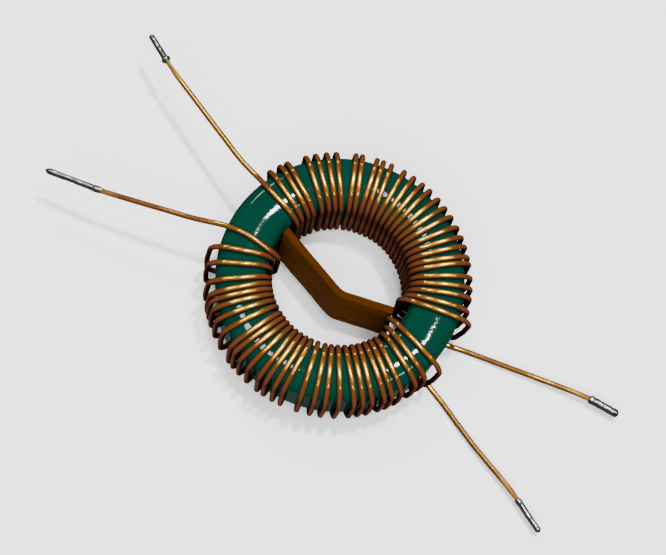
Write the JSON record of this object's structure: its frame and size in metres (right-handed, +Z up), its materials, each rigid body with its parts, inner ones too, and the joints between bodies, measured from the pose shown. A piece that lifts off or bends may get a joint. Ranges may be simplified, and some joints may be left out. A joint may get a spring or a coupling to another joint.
{
  "type": "toroidal inductor",
  "caption": "Common-mode choke: green-coated ferrite ring with hand-laid enamelled copper windings, a bent fibre divider across its hole and tinned wire leads.",
  "frame": {"origin": "on the ring's axis, at the level of the turns' undersides, where the part lies on a board", "axes": "+Z up along the ring's axis; +X from the gap where the leads come over the top to the gap where they leave below; winding A is on +Y and winding B on -Y"},
  "size_m": [0.0636, 0.0273, 0.009],
  "materials": {
    "ferrite": "matt sintered ferrite",
    "green_epoxy": "glossy epoxy coat",
    "enamelled_copper": "clear amber enamel over copper",
    "vulcanised_fibre": "dull, with a faint grain along the strip",
    "solder": "dull bright solder"
  },
  "bodies": {
    "root": {"ferrite_core": "ferrite", "core_coating": "green_epoxy", "winding_a": "enamelled_copper", "winding_b": "enamelled_copper", "divider": "vulcanised_fibre", "tinned_end_a_in": "solder", "tinned_end_a_out": "solder", "tinned_end_b_in": "solder", "tinned_end_b_out": "solder"}
  },
  "joints": []
}
